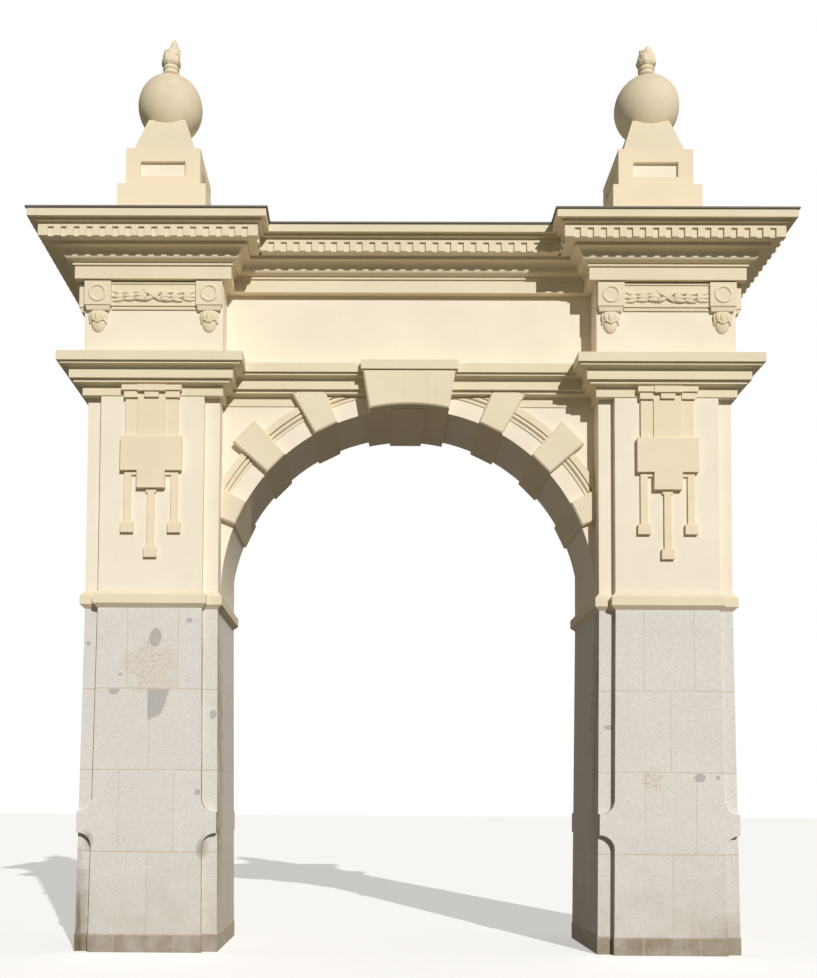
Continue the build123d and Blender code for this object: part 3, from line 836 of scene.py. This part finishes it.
def add_flames(paint):
    for name, side in (("left", -1), ("right", 1)):
        points, faces = flame_shape(flame_tongues[name] + low_tongues)
        placed = [(side * pier_x + x, y, ball_top + z) for x, y, z in points]
        piece = add_piece(f"flame_{name}", placed, faces, paint, f"flame_finial_{name}")
        melt(piece)
        roughen(piece.data)


def leaf_height(share, across, rise, lift):
    """Height of a leaf's upper side at a share of its length and from -1 to 1 across it."""
    dome = rise * (1 - across * across) ** leaf_dome_power
    keel = rise * leaf_keel_share * max(0, 1 - abs(across) * leaf_keel_narrowness)
    return lift + (dome - keel) * sin(pi * (leaf_rise_start + leaf_rise_span * share))


def leaf(points, faces, root, turn, length, width, rise, lift):
    """Keeled laurel leaf on a plane, growing from root; closed, with its flat side just inside the plane."""
    start = len(points)
    for upper in (False, True):
        for step in range(leaf_steps + 1):
            share = step / leaf_steps
            half = width / 2 * sin(pi * min(share, leaf_tip_share) ** leaf_outline_power) ** leaf_outline_power
            for rib in range(leaf_ribs + 1):
                across = 2 * rib / leaf_ribs - 1
                u = root[0] + cos(turn) * length * share - sin(turn) * half * across
                v = root[1] + sin(turn) * length * share + cos(turn) * half * across
                points.append((u, leaf_height(share, across, rise, lift) if upper else leaf_back, v))
    row = leaf_ribs + 1
    size = row * (leaf_steps + 1)
    for layer in (0, 1):
        for step in range(leaf_steps):
            for rib in range(leaf_ribs):
                first = start + layer * size + step * row + rib
                faces.append((first, first + 1, first + row + 1, first + row))
    rim = [step * row for step in range(leaf_steps + 1)]
    rim += [leaf_steps * row + rib for rib in range(1, row)]
    rim += [step * row + leaf_ribs for step in range(leaf_steps - 1, -1, -1)]
    rim += list(range(leaf_ribs - 1, 0, -1))
    for number, place in enumerate(rim):
        following = rim[(number + 1) % len(rim)]
        faces.append((start + place, start + following, start + size + following, start + size + place))


def add_spray(points, faces, side):
    """Laurel leaves and buds from the middle of the garland to one end."""
    for number in range(garland_tiers):
        base = side * (tier_start + tier_step * number)
        lift = tier_lift + tier_lift_step * (garland_tiers - 1 - number)
        for height, fan, length, width, rise in garland_leaves:
            stray = noise.noise(Vector((base * stray_waves[0], height * stray_waves[1], stray_seed)))
            fan = fan + stray_turn * stray
            turn = radians(fan if side > 0 else 180 - fan)
            leaf(points, faces, (base + stray_shift * stray, height), turn,
                 length * (1 + stray_length_share * stray), width, rise * (1 - stray_rise_share * stray),
                 lift + rise * leaf_lift_share)
        for height in bud_levels:
            root = (base + side * bud_along, height - bud_drop)
            leaf(points, faces, root, radians(90), bud_size, bud_size, bud_rise, lift + bud_lift)


def add_ribbon(points, faces, slope):
    """One ribbed band of the ribbon that ties the garland."""
    for number in range(ribbon_strands):
        shift = (number - (ribbon_strands - 1) / 2) * ribbon_strand_spacing
        path = []
        for along, radius in ribbon_path:
            lift = ribbon_lift + ribbon_crossing * slope * (1 - abs(along) / ribbon_half_length)
            path.append(Vector((along + shift, lift, -slope * along * ribbon_slope)))
        tube(points, faces, path, [radius for along, radius in ribbon_path], ribbon_sides)


def garland_shape():
    """Two laurel sprays from a ribbon tied crosswise in the middle, on the plane of the band."""
    points, faces = [], []
    for side in (-1, 1):
        add_spray(points, faces, side)
    for slope in (-1, 1):
        add_ribbon(points, faces, slope)
    return points, faces


def bar(points, faces, low, high, draw_in=0.0):
    """Closed bar between two corners (along, outwards, up), drawn in at its foot for a bevelled moulding."""
    start = len(points)
    for level, inset in ((low[2], draw_in), (high[2], 0)):
        left, right, front = low[0] + inset, high[0] - inset, high[1] - inset
        for along, out in ((left, low[1]), (right, low[1]), (right, front), (left, front)):
            points.append((along, out, level))
    for quad in ((0, 1, 2, 3), (4, 5, 6, 7), (0, 1, 5, 4), (1, 2, 6, 5), (2, 3, 7, 6), (3, 0, 4, 7)):
        faces.append(tuple(start + corner for corner in quad))


def torus(points, faces, centre, radius, thickness):
    """Rolled ring lying on a face, given its centre (along, outwards, up)."""
    sides, turns = 12, 56
    start = len(points)
    for turn in range(turns):
        about = 2 * pi * turn / turns
        for side in range(sides):
            angle = 2 * pi * side / sides
            far = radius + thickness * cos(angle)
            points.append((centre[0] + far * cos(about), centre[1] + thickness * ring_flatness * sin(angle),
                           centre[2] + far * sin(about)))
    for turn in range(turns):
        for side in range(sides):
            here = start + turn * sides
            ahead = start + (turn + 1) % turns * sides
            following = (side + 1) % sides
            faces.append((here + side, here + following, ahead + following, ahead + side))


def frieze_face(half_length):
    """Corner blocks with rolled rings and bevelled feet, and the filleted band between them."""
    points, faces = [], []
    centre = half_length - block_centre_inset
    inner = centre - corner_block_half
    top = frieze_moulding_top
    low = block_foot + low_fillet_rise
    quirk = low + low_fillet_height
    band = quirk + quirk_height
    top_fillet = top - top_fillet_height
    for level, end, relief in ((band, top_fillet, band_relief), (top_fillet, top, top_fillet_relief),
                               (quirk, band, quirk_relief), (low, quirk, low_fillet_relief)):
        bar(points, faces, (-inner, 0, level), (inner, relief, end))
    half = corner_block_half
    foot_half = corner_block_half - block_foot_inset
    foot_relief = corner_block_relief - block_foot_bevel
    for x in (-centre, centre):
        bar(points, faces, (x - half, 0, block_low), (x + half, corner_block_relief, top))
        bar(points, faces, (x - foot_half, 0, block_foot), (x + foot_half, foot_relief, block_low),
            block_foot_bevel)
        middle = (x, corner_block_relief, (block_low + top) / 2)
        torus(points, faces, middle, block_ring_radius, block_ring_thickness)
    return points, faces


def faces_of_frieze(side, points):
    """The same face points set on the front, the back and the outer end of one frieze block."""
    centre = side * pier_x
    front = [(centre + u, -panel_front - h, frieze_top + v) for u, h, v in points]
    back = [(centre - u, panel_front + h, frieze_top + v) for u, h, v in points]
    end = [(centre + side * (frieze_half_width + h), side * u, frieze_top + v) for u, h, v in points]
    return {"front": front, "back": back, "end": end}


def add_frieze(paint):
    """Mouldings of the frieze in place of the plain solids, with their garlands."""
    long_points, long_faces = frieze_face(frieze_half_width)
    end_points, end_faces = frieze_face(panel_front)
    carved, carved_faces = garland_shape()
    carved = [(u, band_relief + h, v + garland_level) for u, h, v in carved]
    count = len(long_points)
    faces = [tuple(corner + layer * count for corner in face) for layer in (0, 1) for face in long_faces]
    faces += [tuple(corner + 2 * count for corner in face) for face in end_faces]
    for name, side in (("left", -1), ("right", 1)):
        placed = faces_of_frieze(side, long_points)
        points = placed["front"] + placed["back"] + faces_of_frieze(side, end_points)["end"]
        piece = add_piece(f"frieze_moulding_{name}", points, faces, paint, f"frieze_ornament_{name}")
        worn = piece.modifiers.new("worn_edges", "BEVEL")
        worn.width = worn_edge
        worn.segments = worn_edge_segments
        worn.limit_method = "ANGLE"
        worn.angle_limit = worn_edge_angle
        worn.harden_normals = True
        for face, carving in faces_of_frieze(side, carved).items():
            add_piece(f"garland_{face}_{name}", carving, carved_faces, paint)


def cap_level(edge, angle, height):
    """Height of a row of the pendant's cap at an angle, with the edge that the row has."""
    if edge == "scalloped":
        return height * (1 + scallop_share * cos(scallop_waves * angle))
    if edge == "lobed":
        nearness = max(0, 1 - abs(angle) * lobe_narrowness)
        return height - lobe_drop * max(0, cos(angle * lobe_waves)) * nearness
    return height


def half_ring(radius, height, edge="plain", flutes=0.0):
    """Row of points round the front half of a pendant."""
    row = []
    for side in range(pendant_sides + 1):
        angle = pi * (side / pendant_sides - 0.5)
        far = radius * (1 + flutes * cos(cap_flutes * angle))
        row.append((far * sin(angle), pendant_flatness * far * cos(angle), cap_level(edge, angle, height)))
    return row


def sheet(points, faces, rows):
    """Open surface through rows of points."""
    start = len(points)
    for row in rows:
        points.extend(row)
    count = len(rows[0])
    for number in range(len(rows) - 1):
        for side in range(count - 1):
            first = start + number * count + side
            faces.append((first, first + 1, first + count + 1, first + count))


def pendant_shape():
    """Acorn in a scalloped leaf cap, half round, hanging from the foot of a corner block."""
    points, faces = [], []
    for outline in (acorn_outline, cap_outline):
        sheet(points, faces, [half_ring(*row) for row in outline])
    flat, flat_faces = [], []
    for across, turn, length, width in pendant_leaves:
        root = (across, pendant_leaf_root)
        leaf(flat, flat_faces, root, radians(turn), length, width, pendant_leaf_rise, 0.0)
    start = len(points)
    for u, h, v in flat:
        angle = u / pendant_wrap_radius
        far = pendant_leaf_radius + h
        out = pendant_flatness * far * cos(angle) + h * pendant_leaf_front_share
        points.append((far * sin(angle), out, v))
    faces.extend(tuple(corner + start for corner in face) for face in flat_faces)
    return points, faces


def add_pendants(paint):
    points, faces = pendant_shape()
    points = [(u, h, v + block_foot) for u, h, v in points]
    for name, side in (("left", -1), ("right", 1)):
        for hand, step in (("outer", side), ("inner", -side)):
            across = step * (frieze_half_width - block_centre_inset)
            front = faces_of_frieze(side, [(u + across, h, v) for u, h, v in points])["front"]
            back = faces_of_frieze(side, [(u - across, h, v) for u, h, v in points])["back"]
            add_piece(f"pendant_front_{hand}_{name}", front, faces, paint)
            add_piece(f"pendant_back_{hand}_{name}", back, faces, paint)


def add_lamp(name, direction, energy, width, colour):
    light = bpy.data.lights.new(name, "SUN")
    light.energy = energy
    light.angle = width
    light.color = colour
    lamp = bpy.data.objects.new(name, light)
    bpy.context.scene.collection.objects.link(lamp)
    lamp.rotation_euler = Vector(direction).to_track_quat("-Z", "Y").to_euler()
    return lamp


def seen_directly(kit):
    """1 for what the camera sees, also by way of metal or glass."""
    path = kit.add("ShaderNodeLightPath").outputs
    seen = kit.total(path["Is Camera Ray"], path["Is Glossy Ray"], path["Is Transmission Ray"])
    return kit.math("MINIMUM", seen, 1.0)


def add_light():
    """Sun on the front, a weak soft lamp on the back and an even fill; gives back the lamp behind."""
    add_lamp("sun", sun_direction, sun_energy, sun_width, sun_colour)
    behind = add_lamp("back_light", back_direction, back_energy, back_width, fill_colour)
    world = bpy.data.worlds.new("studio")
    bpy.context.scene.world = world
    world.use_nodes = True
    world.node_tree.nodes.clear()
    kit = Nodes(world.node_tree)
    fill = kit.add("ShaderNodeBackground", {"Color": (*fill_colour, 1), "Strength": fill_strength})
    white = kit.add("ShaderNodeBackground", {"Color": (1, 1, 1, 1), "Strength": 1.0})
    both = kit.add("ShaderNodeMixShader", {0: seen_directly(kit), 1: fill.outputs[0], 2: white.outputs[0]})
    kit.add("ShaderNodeOutputWorld", {0: both.outputs[0]})
    bpy.context.scene.view_settings.view_transform = "Standard"
    return behind


def floor_paper():
    """Pale to the camera, duller in the light that it throws back."""
    material = bpy.data.materials.new("floor_paper")
    material.use_nodes = True
    material.node_tree.nodes.clear()
    kit = Nodes(material.node_tree)
    dull = kit.add("ShaderNodeBsdfDiffuse", {"Color": (*floor_bounce_colour, 1)})
    paper = kit.add("ShaderNodeBsdfDiffuse", {"Color": (*floor_seen_colour, 1)})
    glow = kit.add("ShaderNodeEmission", {"Color": (1, 1, 1, 1), "Strength": floor_glow})
    pale = kit.add("ShaderNodeAddShader", {0: paper.outputs[0], 1: glow.outputs[0]})
    both = kit.add("ShaderNodeMixShader", {0: seen_directly(kit), 1: dull.outputs[0], 2: pale.outputs[0]})
    kit.add("ShaderNodeOutputMaterial", {0: both.outputs[0]})
    return material


def add_floor(behind):
    """Pale floor that only the sun and the fill light, so that one shadow lies on it."""
    mesh = bpy.data.meshes.new("floor")
    corners = [(-1, -1), (1, -1), (1, 1), (-1, 1)]
    mesh.from_pydata([(x * floor_reach, y * floor_reach, 0) for x, y in corners], [], [(0, 1, 2, 3)])
    floor = bpy.data.objects.new("floor", mesh)
    bpy.context.scene.collection.objects.link(floor)
    floor.data.materials.append(floor_paper())
    unlit = bpy.data.collections.new("kept_from_back_light")
    unlit.objects.link(floor)
    unlit.collection_objects[0].light_linking.link_state = "EXCLUDE"
    behind.light_linking.receiver_collection = unlit


add_camera()
ornament_paint = paint_nodes()
add_flames(ornament_paint)
add_frieze(ornament_paint)
add_pendants(ornament_paint)
back_light = add_light()
add_floor(back_light)
